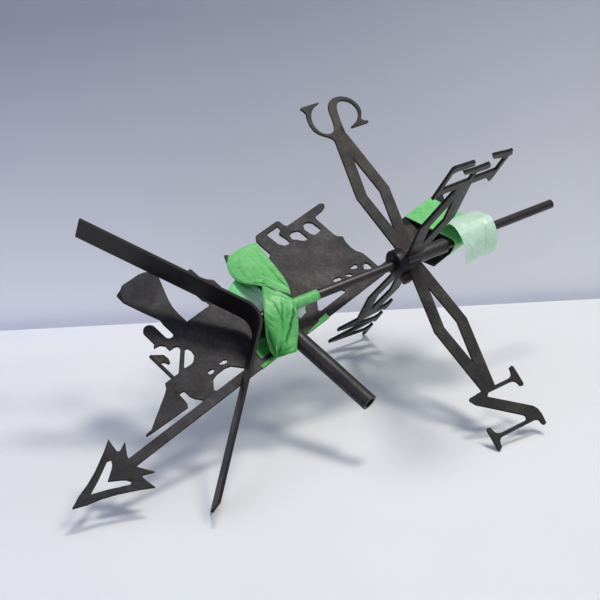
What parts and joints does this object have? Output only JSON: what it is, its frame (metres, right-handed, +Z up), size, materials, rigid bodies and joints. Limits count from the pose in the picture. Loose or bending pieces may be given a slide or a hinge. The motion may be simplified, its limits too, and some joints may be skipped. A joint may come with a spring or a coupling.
{
  "type": "locomotive weathervane",
  "caption": "Black steel weathervane with a steam locomotive on an arrow, compass letter arms on a hub, mast and V roof bracket, strapped together with green masking tape",
  "frame": {"origin": "Centre of the bounding box's footprint, on the ground that the bundle rests on", "axes": "+Z up from the ground, +X to the right and +Y away from the picture's viewer"},
  "size_m": [0.5564, 0.461, 0.3367],
  "materials": {
    "bracket_steel": "hot-rolled strip, nearly black, low sheen",
    "rod_steel": "dark drawn rod with a long soft highlight",
    "plate_steel": "raw plasma-cut plate, dark oxide with faint rust",
    "tube_steel": "dark oxide, low sheen",
    "weld_steel": "rippled weld bead, dark oxide",
    "screw_steel": "reddish dark brown oxide",
    "tape_paper": "green crepe masking tape, slight sheen",
    "tape_pale": "thin single layer of masking tape, light shows through"
  },
  "bodies": {
    "bundle": {"roof_bracket": "bracket_steel", "mast_rod": "rod_steel", "foot_weld_bead": "weld_steel", "vane_plate": "plate_steel", "pivot_tube": "tube_steel", "pivot_cap": "rod_steel", "tube_welds": "weld_steel", "tape_mast_wrap": "tape_paper", "tape_front": "tape_paper", "tape_upper": "tape_paper", "tape_band": "tape_paper", "tape_back": "tape_paper", "tape_shaft_wrap": "tape_paper", "tape_left_end": "tape_paper", "tape_right_end": "tape_paper", "tape_tail_wrap": "tape_paper", "tape_tail_flap": "tape_pale"},
    "directionals": {"hub_collar": "tube_steel", "hub_sleeve": "rod_steel", "arm_north": "plate_steel", "arm_south": "plate_steel", "arm_east": "plate_steel", "arm_west": "plate_steel", "arm_welds": "weld_steel"},
    "set_screw": {"set_screw": "screw_steel"}
  },
  "joints": [
    {"name": "turn_directionals", "type": "hinge", "parent": "bundle", "child": "directionals", "pos_m": [0.09365, 0.05698, 0.17272], "axis": [0.8536, 0.5069, 0.1201], "range_deg": [-20, 5]},
    {"name": "back_out_set_screw", "type": "slide", "parent": "directionals", "child": "set_screw", "axis": [0.4366, -0.5705, -0.6957], "range_m": [0, 0.006]}
  ]
}
